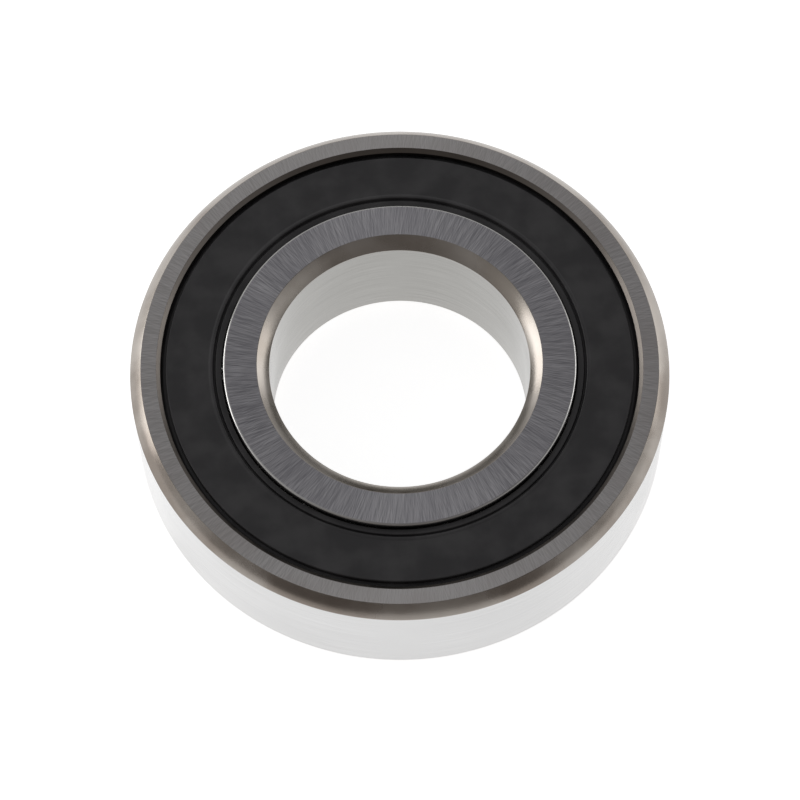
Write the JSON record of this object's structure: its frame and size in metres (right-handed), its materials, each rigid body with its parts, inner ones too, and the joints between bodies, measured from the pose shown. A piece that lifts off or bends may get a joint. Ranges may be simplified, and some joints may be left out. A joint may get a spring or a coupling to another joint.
{
  "type": "ball bearing",
  "caption": "Sealed deep-groove ball bearing: steel rings, balls in a riveted ribbon cage, and a black rubber seal on each side.",
  "frame": {"origin": "centre of the bearing: on its axis, halfway between its two faces", "axes": "+Z along the bearing's axis; the first ball lies on +X"},
  "size_m": [0.062, 0.062, 0.016],
  "materials": {
    "ring_steel": "hardened bearing steel with fine grinding lines on its faces and smooth ground bore and outside",
    "seal_rubber": "satin black moulded nitrile rubber",
    "insert_steel": "plain pressed sheet steel",
    "cage_steel": "dull pressed steel strip",
    "rivet_steel": "dull headed steel wire",
    "ball_steel": "hardened bearing steel, lapped to a mirror finish"
  },
  "bodies": {
    "outer_ring_and_seals": {"outer_ring": "ring_steel", "upper_seal": "seal_rubber", "lower_seal": "seal_rubber", "upper_seal_insert": "insert_steel", "lower_seal_insert": "insert_steel"},
    "inner_ring": {"inner_ring": "ring_steel"},
    "cage": {"cage_upper": "cage_steel", "cage_lower": "cage_steel", "cage_rivet_1": "rivet_steel", "cage_rivet_2": "rivet_steel", "cage_rivet_3": "rivet_steel", "cage_rivet_4": "rivet_steel", "cage_rivet_5": "rivet_steel", "cage_rivet_6": "rivet_steel", "cage_rivet_7": "rivet_steel", "cage_rivet_8": "rivet_steel", "cage_rivet_9": "rivet_steel"},
    "ball_1": {"ball_1": "ball_steel"},
    "ball_2": {"ball_2": "ball_steel"},
    "ball_3": {"ball_3": "ball_steel"},
    "ball_4": {"ball_4": "ball_steel"},
    "ball_5": {"ball_5": "ball_steel"},
    "ball_6": {"ball_6": "ball_steel"},
    "ball_7": {"ball_7": "ball_steel"},
    "ball_8": {"ball_8": "ball_steel"},
    "ball_9": {"ball_9": "ball_steel"}
  },
  "joints": [
    {"name": "inner_ring_spin", "type": "hinge", "parent": "outer_ring_and_seals", "child": "inner_ring", "pos_m": [0, 0, 0], "axis": [0, 0, 1], "continuous": true},
    {"name": "cage_spin", "type": "hinge", "parent": "outer_ring_and_seals", "child": "cage", "pos_m": [0, 0, 0], "axis": [0, 0, 1], "continuous": true},
    {"name": "ball_1_spin", "type": "hinge", "parent": "cage", "child": "ball_1", "pos_m": [0.023, 0, 0], "axis": [0, 0, 1], "continuous": true},
    {"name": "ball_2_spin", "type": "hinge", "parent": "cage", "child": "ball_2", "pos_m": [0.01762, 0.01478, 0], "axis": [0, 0, 1], "continuous": true},
    {"name": "ball_3_spin", "type": "hinge", "parent": "cage", "child": "ball_3", "pos_m": [0.00399, 0.02265, 0], "axis": [0, 0, 1], "continuous": true},
    {"name": "ball_4_spin", "type": "hinge", "parent": "cage", "child": "ball_4", "pos_m": [-0.0115, 0.01992, 0], "axis": [0, 0, 1], "continuous": true},
    {"name": "ball_5_spin", "type": "hinge", "parent": "cage", "child": "ball_5", "pos_m": [-0.02161, 0.00787, 0], "axis": [0, 0, 1], "continuous": true},
    {"name": "ball_6_spin", "type": "hinge", "parent": "cage", "child": "ball_6", "pos_m": [-0.02161, -0.00787, 0], "axis": [0, 0, 1], "continuous": true},
    {"name": "ball_7_spin", "type": "hinge", "parent": "cage", "child": "ball_7", "pos_m": [-0.0115, -0.01992, 0], "axis": [0, 0, 1], "continuous": true},
    {"name": "ball_8_spin", "type": "hinge", "parent": "cage", "child": "ball_8", "pos_m": [0.00399, -0.02265, 0], "axis": [0, 0, 1], "continuous": true},
    {"name": "ball_9_spin", "type": "hinge", "parent": "cage", "child": "ball_9", "pos_m": [0.01762, -0.01478, 0], "axis": [0, 0, 1], "continuous": true}
  ],
  "couplings": [
    {"joint": "cage_spin", "follows": "inner_ring_spin", "ratio": 0.39647},
    {"joint": "ball_1_spin", "follows": "inner_ring_spin", "ratio": -2.3112},
    {"joint": "ball_2_spin", "follows": "inner_ring_spin", "ratio": -2.3112},
    {"joint": "ball_3_spin", "follows": "inner_ring_spin", "ratio": -2.3112},
    {"joint": "ball_4_spin", "follows": "inner_ring_spin", "ratio": -2.3112},
    {"joint": "ball_5_spin", "follows": "inner_ring_spin", "ratio": -2.3112},
    {"joint": "ball_6_spin", "follows": "inner_ring_spin", "ratio": -2.3112},
    {"joint": "ball_7_spin", "follows": "inner_ring_spin", "ratio": -2.3112},
    {"joint": "ball_8_spin", "follows": "inner_ring_spin", "ratio": -2.3112},
    {"joint": "ball_9_spin", "follows": "inner_ring_spin", "ratio": -2.3112}
  ]
}
